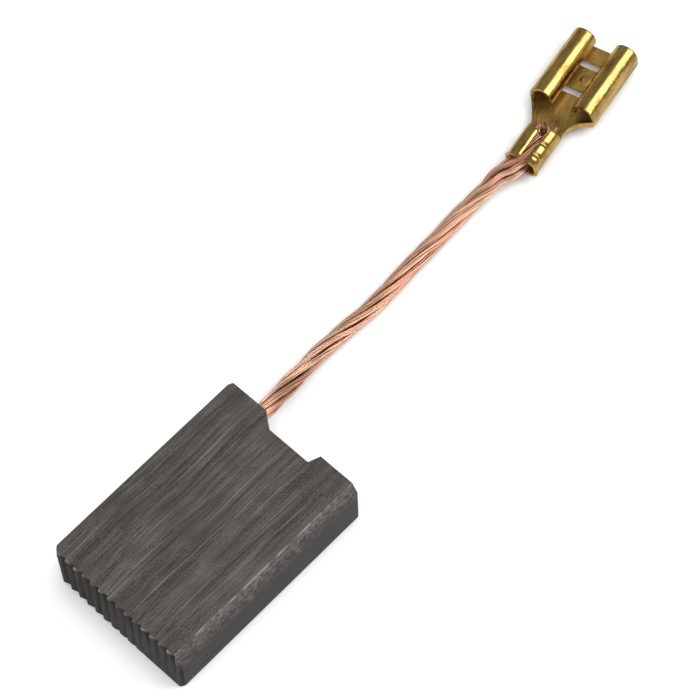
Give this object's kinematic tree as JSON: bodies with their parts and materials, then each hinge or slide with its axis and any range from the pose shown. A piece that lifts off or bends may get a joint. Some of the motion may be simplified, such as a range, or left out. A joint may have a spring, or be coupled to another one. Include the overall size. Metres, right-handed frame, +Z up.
{
  "type": "carbon brush",
  "caption": "Carbon brush for a power tool motor: a grooved block, a bare copper shunt and a brass push-on receptacle.",
  "frame": {"origin": "middle of the block's lower wide face, on the surface that the brush lies on", "axes": "+X from the toothed contact face to the back face, along the block's length; +Y to the side the cable leaves nearest; +Z up, out of the upper wide face"},
  "size_m": [0.0767, 0.02, 0.0063],
  "materials": {
    "carbon": "fine scratched graphite",
    "tamping": "pressed copper powder",
    "copper_rope": "bare stranded copper",
    "brass": "bright rolled sheet, slightly tarnished"
  },
  "bodies": {
    "root": {"carbon_block": "carbon", "tamping_plug": "tamping", "shunt_cable": "copper_rope", "spade_terminal": "brass"}
  },
  "joints": []
}
